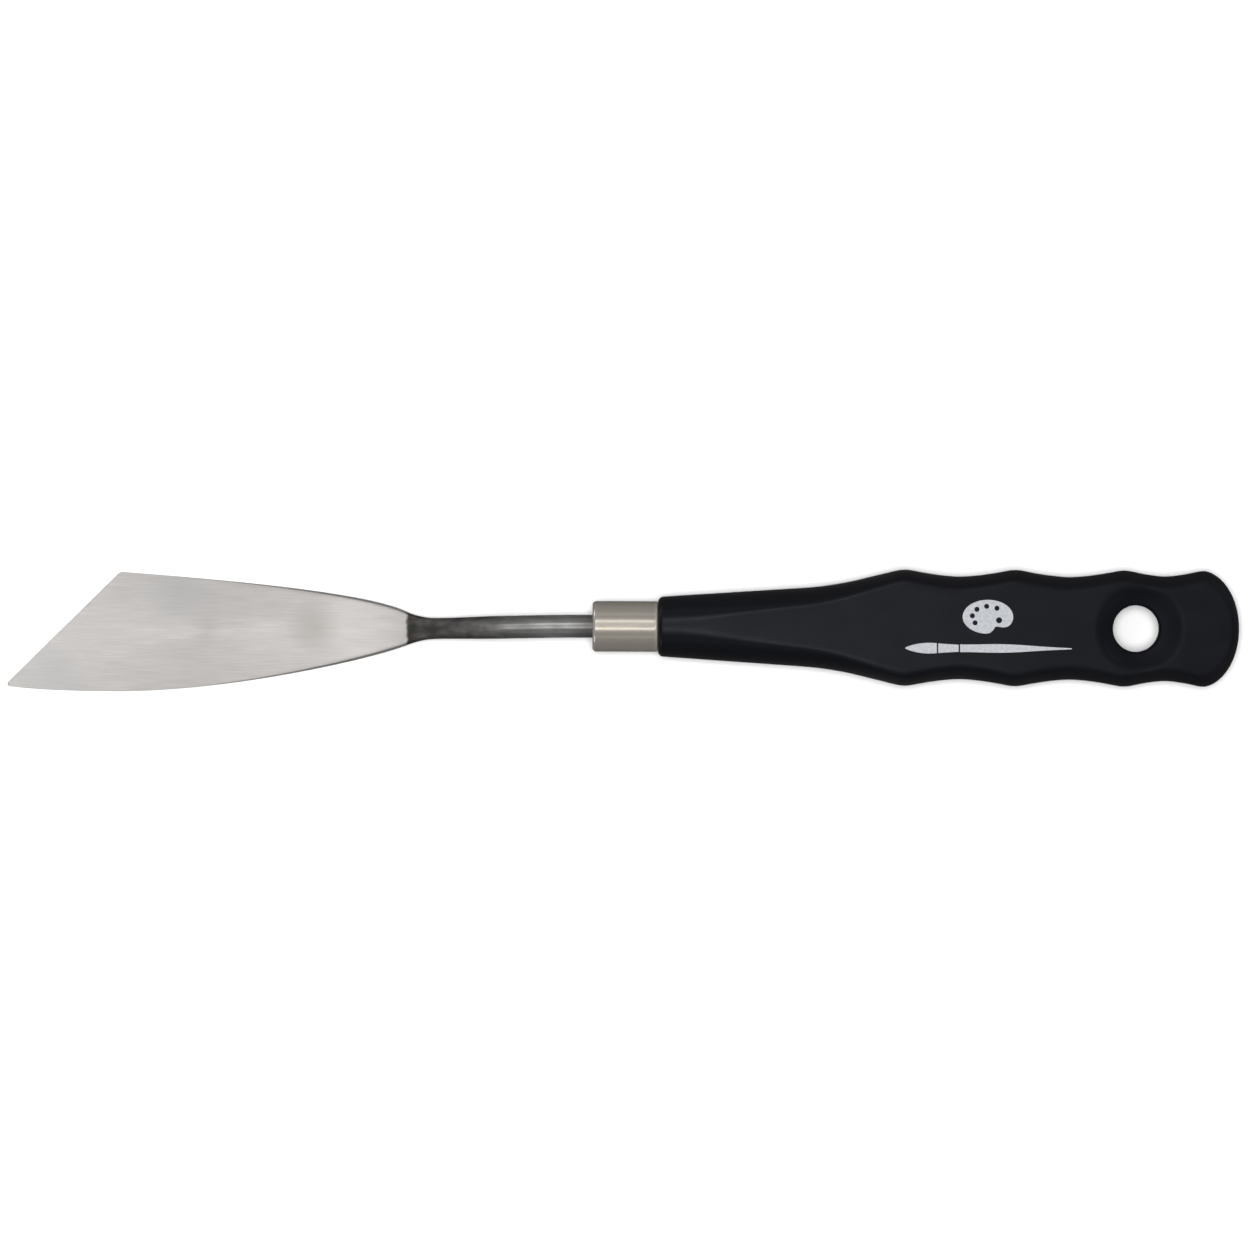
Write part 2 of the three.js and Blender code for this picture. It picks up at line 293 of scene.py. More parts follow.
def turned(profile, sides):
    """Rings of a profile of (x, radius) points about the handle's axis."""
    angles = [2 * math.pi * j / sides for j in range(sides)]
    return [
        [(x, radius * math.cos(a), AXIS_Z + radius * math.sin(a)) for a in angles]
        for x, radius in profile
    ]


def flat_oval(half_width, half_thickness, edge, fullness, edge_steps=EDGE_STEPS):
    """(y, z) points of a section with flat faces and edges this wide. A fullness of 2
    rounds the edges as ellipses, and 1 makes them straight bevels."""
    straight = half_width - edge
    inner = straight - min(EDGE_SUPPORT, straight / ACROSS_STEPS)
    shares = [i / ACROSS_STEPS for i in range(ACROSS_STEPS + 1)]
    top = [(lerp(-inner, inner, share), half_thickness) for share in shares]
    right = []
    for i in range(edge_steps + 1):
        angle = math.pi * i / edge_steps
        out = math.sin(angle) ** (2 / fullness)
        up = abs(math.cos(angle)) ** (2 / fullness)
        right.append((straight + edge * out, math.copysign(half_thickness * up, math.cos(angle))))
    half = top + right
    return half + [(-y, -z) for y, z in half]


def evenly(outline, count):
    """Points at equal steps along a closed outline, from its first point on."""
    ends = outline[1:] + outline[:1]
    sides = [(a, b, math.dist(a, b)) for a, b in zip(outline, ends)]
    step = sum(length for _, _, length in sides) / count
    points = []
    passed = 0
    k = 0
    for i in range(count):
        while passed + sides[k][2] <= i * step:
            passed += sides[k][2]
            k += 1
        a, b, length = sides[k]
        share = (i * step - passed) / length
        points.append((lerp(a[0], b[0], share), lerp(a[1], b[1], share)))
    return points


# ---- Shape of the handle -------------------------------------------------------------------

SWELL_TAPER = NOSE_TAPER + (
    CREST_PEAK - NOSE_RADIUS - NOSE_TAPER * (CRESTS[0] - FRONT_X)
) / (CRESTS[0] - SWELL_START)


def sharp_radius(x):
    """Radius of the handle before its crests are rounded."""
    if x <= CRESTS[0]:
        swell = (SWELL_TAPER - NOSE_TAPER) * soft_ramp(x - SWELL_START, SWELL_SOFTNESS)
        return NOSE_RADIUS + NOSE_TAPER * (x - FRONT_X) + swell
    groove = sum(x > crest for crest in CRESTS[1:-1])
    half_width = (CRESTS[groove + 1] - CRESTS[groove]) / 2
    middle = CRESTS[groove] + half_width
    rise = abs((x - middle) / half_width) ** GROOVE_POWER
    return lerp(GROOVE_RADII[groove], CREST_PEAK, rise)


BUTT_START = (CRESTS[-1], sharp_radius(CRESTS[-1] - CREST_ROUNDING / 2))
butt_radius = bezier_height(BUTT_START, BUTT_HANDLES, (BUTT_X, 0))


def handle_radius(x):
    if x >= CRESTS[-1]:
        return butt_radius(x)
    crest = min(CRESTS, key=lambda c: abs(x - c))
    side = -1 if x < crest else 1
    return sharp_radius(crest + side * soft_abs(x - crest, CREST_ROUNDING))


def flat_height(radius, y, half_thickness):
    """Height over the axis of a round section cut by a flat with a softened edge."""
    height = half_thickness
    for _ in range(FLAT_ROUNDS):
        reach = math.hypot(y, height) / radius
        height = half_thickness * max(0, 1 - reach**FLAT_EDGE_POWER) ** (1 / FLAT_EDGE_POWER)
    return height


def dished(x, y, height, sphere):
    """The height after the dish: a sphere whose centre stands over the face."""
    centre = HALF_THICKNESS + math.sqrt(DISH_SPHERE**2 - DISH_RADIUS**2)
    away = math.hypot(x - DISH_X, y)
    floor = centre - math.sqrt(max(0, sphere**2 - away**2))
    return height - soft_ramp(height - floor, DISH_SOFTNESS)


class HandleShell:
    """A skin of the handle, set in from its surface. It runs from the profile's open front
    ring, which is round, to a pole at its butt, and it has the eye's dishes and the wall of
    the hole. Round the eye, loops that grow from the hole's rim take the rings' place."""

    def __init__(self, profile, inset, rim, flat_angle):
        self.profile = profile
        self.inset = inset
        self.rim = rim
        self.vertices = []
        self.faces = []
        self.known = {}
        stations = range(len(profile))
        self.first = min(stations, key=lambda i: abs(profile[i][0] - HOLE_X + EYE_BLOCK))
        self.last = min(stations, key=lambda i: abs(profile[i][0] - HOLE_X - EYE_BLOCK))
        self.low = round(flat_angle / 360 * SHELL_SIDES)
        self.high = SHELL_SIDES // 2 - self.low
        self.add_sides()
        self.add_eye()
        self.add_butt()

    def add(self, point):
        self.vertices.append(point)
        return len(self.vertices) - 1

    def ring_point(self, i, j):
        """The point at side j of the profile's station i."""
        x, radius = self.profile[i]
        angle = 2 * math.pi * j / SHELL_SIDES
        flat = abs(math.sin(angle)) / (HALF_THICKNESS - self.inset) if i > 0 else 0
        reach = (radius**-FLAT_EDGE_POWER + flat**FLAT_EDGE_POWER) ** (-1 / FLAT_EDGE_POWER)
        y = reach * math.cos(angle)
        height = dished(x, y, abs(reach * math.sin(angle)), DISH_SPHERE + self.inset)
        return (x, y, AXIS_Z + math.copysign(height, math.sin(angle)))

    def ring_vertex(self, i, j):
        """The vertex at that point, which is made once."""
        key = (i, j % SHELL_SIDES)
        if key not in self.known:
            self.known[key] = self.add(self.ring_point(*key))
        return self.known[key]

    def in_eye(self, i, j):
        """Whether the face from station i and side j on is inside the eye's border."""
        mirrored = SHELL_SIDES - j - 1
        on_flat = self.low <= j < self.high or self.low <= mirrored < self.high
        return self.first <= i < self.last and on_flat

    def add_sides(self):
        for i in range(len(self.profile) - 1):
            for j in range(SHELL_SIDES):
                if not self.in_eye(i, j):
                    corners = [(i, j), (i, j + 1), (i + 1, j + 1), (i + 1, j)]
                    self.faces.append(tuple(self.ring_vertex(*corner) for corner in corners))

    def eye_border(self, side):
        """The ring vertices round the eye, on the upper face (1) or the lower (-1)."""
        first, last, low, high = self.first, self.last, self.low, self.high
        border = (
            [(i, low) for i in range(first, last)]
            + [(last, j) for j in range(low, high)]
            + [(i, high) for i in range(last, first, -1)]
            + [(first, j) for j in range(high, low, -1)]
        )
        return [self.ring_vertex(i, j if side > 0 else SHELL_SIDES - j) for i, j in border]

    def radius_near(self, x):
        """The profile's radius at x, beside the eye."""
        passed = sum(self.profile[i][0] <= x for i in range(self.first, self.last))
        i = max(self.first, min(self.last - 1, self.first + passed - 1))
        (x_before, radius_before), (x_after, radius_after) = self.profile[i : i + 2]
        return lerp(radius_before, radius_after, (x - x_before) / (x_after - x_before))

    def eye_layers(self):
        """For each loop round the hole: how far out from its wall it starts, its share of
        the way from there to the border, and how far it lies below the face."""
        layers = []
        rim_steps = RIM_STEPS if self.rim else 0
        for m in range(rim_steps + 1):
            turn = math.pi / 2 * (m / rim_steps if rim_steps else 1)
            layers.append((self.rim * (1 - math.cos(turn)), 0, self.rim * (1 - math.sin(turn))))
        return layers + [(self.rim, share, 0) for share in spread(0, 1, FACE_STEP)[1:]]

    def face_loops(self, side):
        """Loops of vertices from the hole's rim out to the border, on one face."""
        border = self.eye_border(side)
        loops = []
        for offset, share, drop in self.eye_layers():
            start = HOLE_RADIUS + self.inset + offset
            loop = []
            for vertex in border:
                border_x, border_y, _ = self.vertices[vertex]
                angle = math.atan2(border_y, border_x - HOLE_X)
                x = lerp(HOLE_X + start * math.cos(angle), border_x, share)
                y = lerp(start * math.sin(angle), border_y, share)
                face = flat_height(self.radius_near(x), y, HALF_THICKNESS - self.inset)
                height = dished(x, y, face, DISH_SPHERE + self.inset)
                loop.append(self.add((x, y, AXIS_Z + side * (height - drop))))
            loops.append(loop)
        return [*loops, border]

    def wall_loops(self, upper_rim, lower_rim):
        """Loops of vertices down the hole's wall, between its rims."""
        loops = []
        for share in spread(0, 1, WALL_STEP)[1:]:
            loop = []
            for upper, lower in zip(upper_rim, lower_rim):
                a, b = self.vertices[upper], self.vertices[lower]
                loop.append(self.add(tuple(lerp(a[k], b[k], share) for k in range(3))))
            loops.append(loop)
        return loops

    def add_eye(self):
        top = self.face_loops(1)
        bottom = self.face_loops(-1)
        wall = self.wall_loops(top[0], bottom[0])
        for loops in (top, bottom, [top[0], *wall, bottom[0]]):
            for inner, outer in zip(loops, loops[1:]):
                for k in range(len(outer)):
                    n = (k + 1) % len(outer)
                    self.faces.append((inner[k], inner[n], outer[n], outer[k]))

    def add_butt(self):
        end = len(self.profile) - 1
        pole = self.add((self.profile[end][0], 0, AXIS_Z))
        for j in range(SHELL_SIDES):
            self.faces.append((self.ring_vertex(end, j), self.ring_vertex(end, j + 1), pole))


def outside_profile():
    """From the front opening, which is as wide as the ferrule's bore, to the butt."""
    corner_x = FRONT_X + NOSE_CORNER
    corner = handle_radius(corner_x) - NOSE_CORNER
    return [
        *arc(FRONT_X + FRONT_LIP, FERRULE_BORE + FRONT_LIP, FRONT_LIP, 270, 180, 3),
        *arc(corner_x, corner, NOSE_CORNER, 180, 90, 8),
        *[(x, handle_radius(x)) for x in spread(corner_x, CRESTS[-1], OUTSIDE_STEP)[1:]],
        *[bezier(BUTT_START, BUTT_HANDLES, (BUTT_X, 0), t) for t in spread(0, 1, BUTT_STEP)],
    ]


def inside_profile():
    """From the front opening, round the core, to its rear end."""
    end_x = BUTT_X - CORE_END_WALL
    end_radius = handle_radius(end_x) - SKIN
    stations = spread(FRONT_X + SKIN, end_x, INSIDE_STEP)[1:]
    return [
        (FRONT_X + FRONT_LIP, FERRULE_BORE),
        (FRONT_X + SKIN, FERRULE_BORE),
        *[(x, max(FERRULE_BORE, handle_radius(x) - SKIN)) for x in stations],
        *[(end_x, end_radius * share) for share in INSIDE_END_SHARES],
    ]


def grip_mesh():
    """The grip's outside and inside, which share the ring in its front opening."""
    outside = HandleShell(outside_profile(), 0, HOLE_RIM, OUTSIDE_FLAT_ANGLE)
    inside = HandleShell(inside_profile(), SKIN, 0, INSIDE_FLAT_ANGLE)
    moved = [tuple(v + len(outside.vertices) for v in face) for face in inside.faces]
    return outside.vertices + inside.vertices, outside.faces + moved


# ---- Shapes of the metal parts -------------------------------------------------------------


def crank_lift(x):
    """Height of the blade's underside, or of the neck's, above the resting plane."""
    lower = soft_ramp(x - LOWER_BEND_X, LOWER_BEND_SOFTNESS)
    upper = soft_ramp(x - UPPER_BEND_X, UPPER_BEND_SOFTNESS)
    return CRANK_SLOPE * (lower - upper)


def side_shift(x):
    """How far the neck stands off the handle's axis, towards -Y."""
    lean = soft_ramp(LEAN_START_X - x, LEAN_SOFTNESS) - soft_ramp(LEAN_END_X - x, LEAN_SOFTNESS)
    return LEAN_SLOPE * lean


def shank_ring(x):
    """A section of the shank: flat at the blade's root, round along the rod, and flat again
    in the tang."""
    flare = max(0, (NECK_X - x) / (NECK_X - BLADE_ROOT_X)) ** 2
    roundness = smoothstep(x, BLADE_ROOT_X, NECK_ROUND_X)
    tang = smoothstep(x, TANG_FLAT_X, TANG_FLAT_X + TANG_FLAT_TRANSITION)
    width = lerp(NECK_HALF_WIDTH, ROD_RADIUS, smoothstep(x, NECK_X, NECK_ROUND_X))
    width += (BLADE_ROOT_HALF_WIDTH - NECK_HALF_WIDTH) * flare
    width = lerp(width, TANG_HALF_WIDTH, tang)
    thickness = lerp(BLADE_ROOT_THICKNESS / 2, ROD_RADIUS, roundness)
    thickness = lerp(thickness, TANG_HALF_THICKNESS, tang)
    edge = lerp(ROOT_EDGE, width, roundness)
    edge = lerp(edge, TANG_EDGE, tang)
    fullness = lerp(EDGE_FULLNESS, 2, roundness)
    outline = flat_oval(width, thickness, min(edge, width), fullness, SHANK_EDGE_STEPS)
    top = ACROSS_STEPS // 2
    section = evenly(outline[top:] + outline[:top], SHANK_SIDES)
    centre_z = BLADE_ROOT_THICKNESS / 2 + crank_lift(x)
    return [(x, y - side_shift(x), z + centre_z) for y, z in section]


ROOT_Y = -side_shift(BLADE_ROOT_X)
long_edge = bezier_height(
    BLADE_CORNER, BLADE_LONG_HANDLES, (BLADE_ROOT_X, ROOT_Y + BLADE_ROOT_HALF_WIDTH)
)
bowed_edge = bezier_height(
    BLADE_HEEL, BLADE_BOWED_HANDLES, (BLADE_ROOT_X, ROOT_Y - BLADE_ROOT_HALF_WIDTH)
)
tip_edge = bezier_height(
    (BLADE_TIP[0], BLADE_TIP[1] - BLADE_TIP_WIDTH), BLADE_TIP_HANDLES, BLADE_HEEL
)


def blade_high(x):
    """The edge on the +Y side: the slanted front, then the long edge."""
    slope = (BLADE_CORNER[1] - BLADE_TIP[1]) / (BLADE_CORNER[0] - BLADE_TIP[0])
    front = BLADE_TIP[1] + slope * (x - BLADE_TIP[0])
    return front - soft_ramp(front - long_edge(x), BLADE_CORNER_SOFTNESS)


def blade_low(x):
    """The edge on the -Y side: from the tip to the heel, then the bowed edge."""
    return tip_edge(x) if x < BLADE_HEEL[0] else bowed_edge(x)


def blade_thickness(x):
    t = (x - BLADE_TIP[0]) / (BLADE_ROOT_X - BLADE_TIP[0])
    return lerp(BLADE_TIP_THICKNESS, BLADE_ROOT_THICKNESS, max(0, t) ** BLADE_THICKNESS_POWER)


def root_share(x):
    """How far a place on the blade is on its way from thin steel to the neck."""
    return smoothstep(x, EDGE_GROWTH_X, BLADE_ROOT_X)


def blade_ring(x):
    """A section of the blade, which is rounded off at its tip."""
    low, high, thickness = blade_low(x), blade_high(x), blade_thickness(x)
    from_tip = max(0.0, x - BLADE_TIP[0])
    tip_rounding = min(1, math.sqrt(from_tip / BLADE_TIP_ROUNDING) + BLADE_TIP_BLUNTNESS)
    half_width = (high - low) / 2 * tip_rounding
    edge = min(lerp(TIP_EDGE, ROOT_EDGE, root_share(x)), LARGEST_EDGE * half_width)
    centre_z = crank_lift(x) + thickness / 2
    section = flat_oval(half_width, thickness / 2 * tip_rounding, edge, EDGE_FULLNESS)
    return [(x, y + (low + high) / 2, z + centre_z) for y, z in section]


def blade_mesh(end_x):
    tip_x = BLADE_TIP[0]
    corner_x = BLADE_CORNER[0]
    stations = [
        *spread(tip_x, tip_x + BLADE_TIP_FINE, BLADE_TIP_STEP),
        *spread(tip_x + BLADE_TIP_FINE, corner_x - BLADE_CORNER_FINE, STEEL_STEP),
        *spread(corner_x - BLADE_CORNER_FINE, corner_x + BLADE_CORNER_FINE, BLADE_CORNER_STEP),
        *spread(corner_x + BLADE_CORNER_FINE, end_x, STEEL_STEP),
        end_x,
    ]
    return loft([blade_ring(x) for x in stations])


def mark_edge_shade(piece):
    """Marks painted shade along the blade's edges, where their bevels reflect the dark surroundings;
    it widens towards the neck.
    """
    edge_shade = piece.data.attributes.new("edge_shade", "FLOAT", "POINT")
    for vertex, value in zip(piece.data.vertices, edge_shade.data):
        x, y, _ = vertex.co / MM
        inside = min(y - blade_low(x), blade_high(x) - y)
        value.value = root_share(x) * (1 - smoothstep(inside, 0, EDGE_SHADE_WIDTH))


def shank_mesh(start_x, end_x):
    return loft([shank_ring(x) for x in [*spread(start_x, end_x, STEEL_STEP), end_x]])


def ferrule_mesh():
    """A thin cup over the core's spigot, with a hole for the shank in its front wall."""
    front = FERRULE_FRONT_X
    rear = FERRULE_REAR_X
    corner = FERRULE_CORNER
    rear_corner = FERRULE_REAR_CORNER
    hole_corner = FERRULE_HOLE_CORNER
    outline = [
        *arc(front + hole_corner, FERRULE_HOLE + hole_corner, hole_corner, 270, 180, 3),
        *arc(front + corner, FERRULE_RADIUS - corner, corner, 180, 90, 10),
        *[(x, FERRULE_RADIUS) for x in spread(front + corner, rear - rear_corner, STEEL_STEP)[1:]],
        *arc(rear - rear_corner, FERRULE_RADIUS - rear_corner, rear_corner, 90, 0, 6),
        (rear, FERRULE_BORE + FERRULE_BORE_BEVEL),
        (rear - FERRULE_BORE_BEVEL, FERRULE_BORE),
        (front + FERRULE_FRONT_WALL, FERRULE_BORE),
        (front + FERRULE_FRONT_WALL, FERRULE_HOLE),
    ]
    return loft(turned([*outline, outline[0]], FERRULE_SIDES), cap_start=False, cap_end=False)


# ---- Printed mark --------------------------------------------------------------------------

# A small painter's palette over a brush, on the upper flat.
PRINT_THICKNESS = 0.03
PALETTE_CENTRE = (8, 2.3)
PALETTE_SIZE = (5.2, 3.5)
PALETTE_STEPS = 96
PALETTE_NOTCH = 0.34
NOTCH_ANGLE = -62
NOTCH_SPREAD = 0.3
THUMB_HOLE = ((2.3, -0.7), 0.62)
DAB_RADIUS = 0.52
DAB_RING = 0.62
DAB_ANGLES = (55, 95, 135, 175, 215)
BRUSH_Y = -4.2
BRUSH_STEPS = 40
CIRCLE_STEPS = 28

# Where each part of the brush starts, and its length.
BRISTLES = (-9, 6.5)
BRUSH_FERRULE = (-2.2, 4.2)
BRUSH_HANDLE = (2.3, 23)


def circle(centre, radius):
    angles = [2 * math.pi * i / CIRCLE_STEPS for i in range(CIRCLE_STEPS)]
    return [(centre[0] + radius * math.cos(a), centre[1] + radius * math.sin(a)) for a in angles]


def on_palette(angle, reach):
    """The point of the palette in this direction, at this share of the way to its edge."""
    centre_x, centre_y = PALETTE_CENTRE
    half_length, half_width = PALETTE_SIZE
    return (
        centre_x + half_length * reach * math.cos(angle),
        centre_y + half_width * reach * math.sin(angle),
    )


def palette_outlines():
    """The palette's kidney-shaped edge, its thumb hole and its dabs of paint."""
    edge = []
    for i in range(PALETTE_STEPS):
        angle = 2 * math.pi * i / PALETTE_STEPS
        notch = math.remainder(angle - math.radians(NOTCH_ANGLE), 2 * math.pi)
        edge.append(on_palette(angle, 1 - PALETTE_NOTCH * math.exp(-((notch / NOTCH_SPREAD) ** 2))))
    (hole_x, hole_y), hole_radius = THUMB_HOLE
    outlines = [edge, circle((PALETTE_CENTRE[0] + hole_x, PALETTE_CENTRE[1] + hole_y), hole_radius)]
    for degrees in DAB_ANGLES:
        outlines.append(circle(on_palette(math.radians(degrees), DAB_RING), DAB_RADIUS))
    return outlines


def spindle(start_x, length, half_width, steps=BRUSH_STEPS):
    """An outline along the brush, from its half-width at each share of its length."""
    shares = [i / steps for i in range(steps + 1)]
    upper = [(start_x + length * t, BRUSH_Y + half_width(t)) for t in shares]
    lower = [(x, 2 * BRUSH_Y - y) for x, y in upper]
    return lower + upper[::-1]


def bristle_width(t):
    """Half the width of the bristles, from their point (0) to the ferrule (1)."""
    return 0.05 + 1.05 * math.sin(math.pi * 0.62 * t**0.8)


def brush_ferrule_width(t):
    return lerp(0.98, 0.72, t)


def brush_handle_width(t):
    """Half the width of the handle, which swells a little and thins to its end."""
    return 0.7 * (1 - t) ** 0.8 + 0.1 + 0.55 * math.sin(math.pi * t) ** 2 * (1 - t)


def brush_outlines():
    """A pointed brush, its ferrule, which is straight-sided, and its handle."""
    return [
        spindle(*BRISTLES, bristle_width),
        spindle(*BRUSH_FERRULE, brush_ferrule_width, steps=1),
        spindle(*BRUSH_HANDLE, brush_handle_width),
    ]


def printed_mesh(outlines):
    """A thin flat shape filled between its outlines, on the handle's upper flat."""
    curve = bpy.data.curves.new("outline", "CURVE")
    curve.dimensions = "2D"
    curve.fill_mode = "BOTH"
    curve.extrude = PRINT_THICKNESS / 2
    for outline in outlines:
        spline = curve.splines.new("POLY")
        spline.points.add(len(outline) - 1)
        for point, (x, y) in zip(spline.points, outline):
            point.co = (x, y, 0, 1)
        spline.use_cyclic_u = True
    drawn = bpy.data.objects.new("outline", curve)
    mesh = drawn.to_mesh()
    lift = 2 * AXIS_Z + PRINT_THICKNESS / 4
    vertices = [(v.co.x, v.co.y, v.co.z + lift) for v in mesh.vertices]
    faces = [tuple(p.vertices) for p in mesh.polygons]
    drawn.to_mesh_clear()
    bpy.data.objects.remove(drawn)
    bpy.data.curves.remove(curve)
    return vertices, faces


# ---- Materials -----------------------------------------------------------------------------

# Where the finishes and the painted light change along the knife, and how far a ragged change
# wanders.
# Painted highlight: the blade's colour grows lighter over this stretch and stays lighter up to its
# root, where it bends up towards the neck and catches more light.
ROOT_HIGHLIGHT = (-131, -124)
SCALE_EDGE = (-112.1, -111.5)
SCALE_WANDER = 0.9
ROOT_DARKENING = (-112, -104.5)
DRAWN = (-100, -84)
DRAWN_WANDER = 5
# Painted shade: the rod darkens over this stretch towards the ferrule.
FERRULE_SHADE = (-78.5, -73.5)
# The ferrule's rounded rims carry a painted highlight, which is full within this distance of each
# end.
HIGHLIGHT_RIM = 0.3
MATT = (-20, 58)

# Painted reflection patches on the blade: centre, radius, greatest share and colour. They darken the
# colour where the slightly curved blade reflects less light: one in the middle near the root, and
# cooler patches by the two edges.
REFLECTION_PATCHES = [
    ((-131.0, -0.4, 0), 6.0, 0.95, (0.475, 0.452, 0.43)),
    ((-159.0, 7.0, 0), 9.5, 0.75, (0.51, 0.515, 0.52)),
    ((-184.5, -11.0, 0), 11.0, 0.55, (0.53, 0.537, 0.545)),
]


def add_node(tree, kind, inputs=None, **settings):
    """Adds a node. An input is a value, or another node's output to link."""
    node = tree.nodes.new(kind)
    for name, value in settings.items():
        setattr(node, name, value)
    for name, value in (inputs or {}).items():
        if isinstance(value, bpy.types.NodeSocket):
            tree.links.new(value, node.inputs[name])
        else:
            node.inputs[name].default_value = value
    return node


def start_material(name):
    """A material with a Principled shader, its tree and its object coordinates."""
    material = bpy.data.materials.new(name)
    material.use_nodes = True
    tree = material.node_tree
    shader = tree.nodes["Principled BSDF"]
    place = add_node(tree, "ShaderNodeTexCoord").outputs["Object"]
    return material, tree, shader, place


def noise(tree, place, scale, detail):
    """Noise with its own scale along each axis, in cycles per metre."""
    stretched = add_node(tree, "ShaderNodeMapping", {"Vector": place, "Scale": scale})
    inputs = {"Vector": stretched.outputs[0], "Scale": 1.0, "Detail": detail, "Roughness": 0.5}
    return add_node(tree, "ShaderNodeTexNoise", inputs).outputs["Fac"]


def calculate(tree, operation, *values):
    inputs = dict(enumerate(values))
    return add_node(tree, "ShaderNodeMath", inputs, operation=operation).outputs[0]


def remap(tree, value, low, high, new_low, new_high):
    inputs = {0: value, 1: low, 2: high, 3: new_low, 4: new_high}
    return add_node(tree, "ShaderNodeMapRange", inputs).outputs[0]


def along_knife(tree, place):
    return add_node(tree, "ShaderNodeSeparateXYZ", {0: place}).outputs["X"]


def change(tree, along, places, start, end):
    """A value that goes from start to end between two places along the knife."""
    return remap(tree, along, places[0] * MM, places[1] * MM, start, end)


def mix_colour(tree, share, first, second):
    node = tree.nodes.new("ShaderNodeMix")
    node.data_type = "RGBA"
    for socket, value in ((node.inputs[0], share), (node.inputs[6], first), (node.inputs[7], second)):
        if isinstance(value, bpy.types.NodeSocket):
            tree.links.new(value, socket)
        elif socket.type == "RGBA":
            socket.default_value = (*value, 1)
        else:
            socket.default_value = value
    return node.outputs[2]


def tint(tree, pattern, low, high, first, second, most=1):
    """The first colour, and up to this share of the second as the pattern goes from low
    to high."""
    return mix_colour(tree, remap(tree, pattern, low, high, 0, most), first, second)


def bump(tree, height, strength, distance):
    inputs = {"Height": height, "Strength": strength, "Distance": distance}
    return add_node(tree, "ShaderNodeBump", inputs).outputs[0]


def with_reflection_patches(tree, place, colour):
    """The colour with the blade's painted reflection patches on it."""
    for centre, radius, share, patch_colour in REFLECTION_PATCHES:
        inputs = {0: place, 1: [c * MM for c in centre]}
        away = add_node(tree, "ShaderNodeVectorMath", inputs, operation="DISTANCE").outputs["Value"]
        colour = mix_colour(tree, remap(tree, away, radius * MM, 0, 0, share), colour, patch_colour)
    return colour


def blade_steel():
    """Polished steel, brushed lengthwise, with a ragged edge of dark scale at the root. It also has
    painted light: a painted highlight towards the root, painted reflection patches, and painted shade
    along the edges.
    """
    material, tree, shader, place = start_material("blade_steel")
    fine = noise(tree, place, (160, 5200, 160), 4)
    broad = noise(tree, place, (90, 1100, 90), 3)
    patches = noise(tree, place, (55, 85, 55), 4)
    ragged = noise(tree, place, (900, 900, 900), 3)
    along = along_knife(tree, place)
    brushed = tint(tree, fine, 0.3, 0.7, (0.57, 0.54, 0.52), (0.68, 0.65, 0.63))
    toned = tint(tree, broad, 0.35, 0.65, brushed, (0.53, 0.507, 0.49), 0.3)
    clouded = tint(tree, patches, 0.4, 0.7, toned, (0.525, 0.517, 0.513), 0.35)
    # Painted highlight: lighter colour from here to the root, where the blade bends up and catches
    # more light.
    root_highlight = change(tree, along, ROOT_HIGHLIGHT, 0, 0.35)
    highlighted = mix_colour(tree, root_highlight, clouded, (0.72, 0.695, 0.675))
    # Painted reflection: darker and cooler patches where the curved blade reflects less light.
    patched = with_reflection_patches(tree, place, highlighted)
    wander = remap(tree, ragged, 0, 1, -SCALE_WANDER * MM, SCALE_WANDER * MM)
    scale = change(tree, calculate(tree, "ADD", along, wander), SCALE_EDGE, 0, 1)
    # Painted shade: a darker steel colour along the edges, where the bevels reflect the dark
    # surroundings.
    edge_shade = add_node(tree, "ShaderNodeAttribute", attribute_name="edge_shade").outputs["Fac"]
    edge_shaded = mix_colour(tree, edge_shade, patched, (0.36, 0.356, 0.352))
    base = mix_colour(tree, scale, edge_shaded, (0.11, 0.107, 0.102))
    shader.inputs["Metallic"].default_value = 0.78
    shader.inputs["Anisotropic"].default_value = 0.5
    tree.links.new(base, shader.inputs["Base Color"])
    tree.links.new(remap(tree, fine, 0.3, 0.7, 0.42, 0.30), shader.inputs["Roughness"])
    tree.links.new(bump(tree, fine, 0.25, 0.00003), shader.inputs["Normal"])
    return material


def forged_steel():
    """Dark scale on the neck, which thins out to drawn steel along the rod. The scale is darker
    still at the blade's root, and the drawn steel has painted shade next to the ferrule."""
    material, tree, shader, place = start_material("forged_steel")
    streaks = noise(tree, place, (90, 2600, 2600), 4)
    patches = noise(tree, place, (260, 500, 500), 4)
    smudges = noise(tree, place, (170, 420, 420), 3)
    along = along_knife(tree, place)
    wander = remap(tree, patches, 0, 1, -DRAWN_WANDER * MM, DRAWN_WANDER * MM)
    wandering = calculate(tree, "ADD", along, wander)
    drawn = change(tree, wandering, DRAWN, 0, 1)
    scale = tint(tree, patches, 0.35, 0.65, (0.110, 0.107, 0.103), (0.215, 0.210, 0.202))
    bright = tint(tree, streaks, 0.3, 0.7, (0.36, 0.355, 0.352), (0.55, 0.543, 0.54))
    smudged = tint(tree, smudges, 0.4, 0.65, bright, (0.20, 0.196, 0.194), 0.5)
    # The scale is darker towards the blade's root.
    darkened = mix_colour(tree, change(tree, wandering, ROOT_DARKENING, 0.8, 0), scale, (0.045, 0.044, 0.042))
    # Painted shade: the drawn steel darkens next to the ferrule.
    ferrule_shaded = mix_colour(tree, change(tree, along, FERRULE_SHADE, 0, 0.6), smudged, (0.17, 0.167, 0.165))
    base = mix_colour(tree, drawn, darkened, ferrule_shaded)
    shader.inputs["Metallic"].default_value = 0.88
    tree.links.new(base, shader.inputs["Base Color"])
    tree.links.new(remap(tree, drawn, 0, 1, 0.46, 0.29), shader.inputs["Roughness"])
    tree.links.new(bump(tree, streaks, 0.3, 0.00004), shader.inputs["Normal"])
    return material


